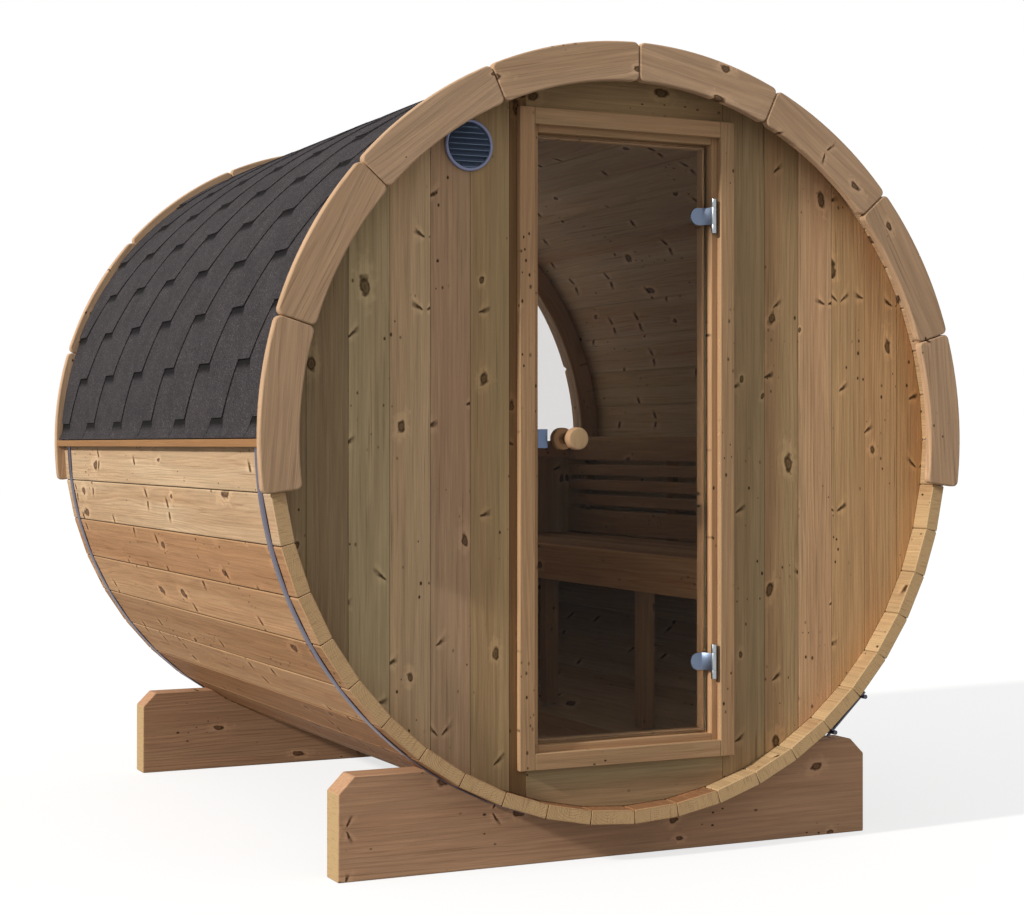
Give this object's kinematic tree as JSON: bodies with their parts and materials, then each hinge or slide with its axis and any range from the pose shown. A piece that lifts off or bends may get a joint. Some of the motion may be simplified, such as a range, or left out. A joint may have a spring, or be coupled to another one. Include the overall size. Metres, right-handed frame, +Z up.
{
  "type": "barrel sauna",
  "caption": "Barrel sauna of pine staves on two cradle beams, with a shingled roof, a hinged glass door, a half-round rear window and a bench inside.",
  "frame": {"origin": "centre of the footprint, on the ground", "axes": "+Y from the glass door to the rear window along the barrel, +X to the right seen from the front, +Z up"},
  "size_m": [2.054, 2.1786, 2.1249],
  "materials": {
    "stave_wood": "planed, knotty",
    "cradle_wood": "sawn",
    "wall_wood": "planed, weathered",
    "trim_wood": "planed",
    "interior_wood": "planed",
    "roof_shingles": "granular",
    "band_steel": "brushed",
    "fitting_steel": "satin",
    "vent_metal": "satin",
    "door_glass": "tinted",
    "window_glass": "clear"
  },
  "bodies": {
    "cabin": {"cradle_front": "cradle_wood", "cradle_rear": "cradle_wood", "staves_12_oclock": "stave_wood", "staves_1_oclock": "stave_wood", "staves_2_oclock": "stave_wood", "staves_3_oclock": "stave_wood", "staves_4_oclock": "stave_wood", "staves_5_oclock": "stave_wood", "staves_6_oclock": "stave_wood", "staves_7_oclock": "stave_wood", "staves_8_oclock": "stave_wood", "staves_9_oclock": "stave_wood", "staves_10_oclock": "stave_wood", "staves_11_oclock": "stave_wood", "front_wall_left": "wall_wood", "front_wall_right": "wall_wood", "front_wall_header": "wall_wood", "front_wall_threshold": "wall_wood", "rear_wall_lower": "wall_wood", "rear_window_frame": "trim_wood", "rear_window_sill": "trim_wood", "rear_window_glass": "window_glass", "front_arch_left": "trim_wood", "front_arch_right": "trim_wood", "rear_arch_left": "trim_wood", "rear_arch_right": "trim_wood", "roof_left": "roof_shingles", "roof_right": "roof_shingles", "eave_battens": "trim_wood", "band_front": "band_steel", "band_rear": "band_steel", "band_tensioners": "band_steel", "door_casing": "trim_wood", "door_frame": "trim_wood", "door_stops": "trim_wood", "hinge_leaves": "fitting_steel", "vent_front": "vent_metal", "floor_joists": "interior_wood", "floor_boards": "interior_wood", "bench_legs": "interior_wood", "bench_bearers": "interior_wood", "bench_seat": "interior_wood", "bench_fascia": "interior_wood", "bench_backrest": "interior_wood", "backrest_posts": "interior_wood"},
    "door": {"door_glass": "door_glass", "door_knobs": "trim_wood", "hinge_clamps": "fitting_steel", "latch_plate": "fitting_steel"}
  },
  "joints": [
    {"name": "door_swing", "type": "hinge", "parent": "cabin", "child": "door", "pos_m": [0.268, -1.0136, 1.0995], "axis": [0, 0, 1], "range_deg": [0, 110]}
  ]
}
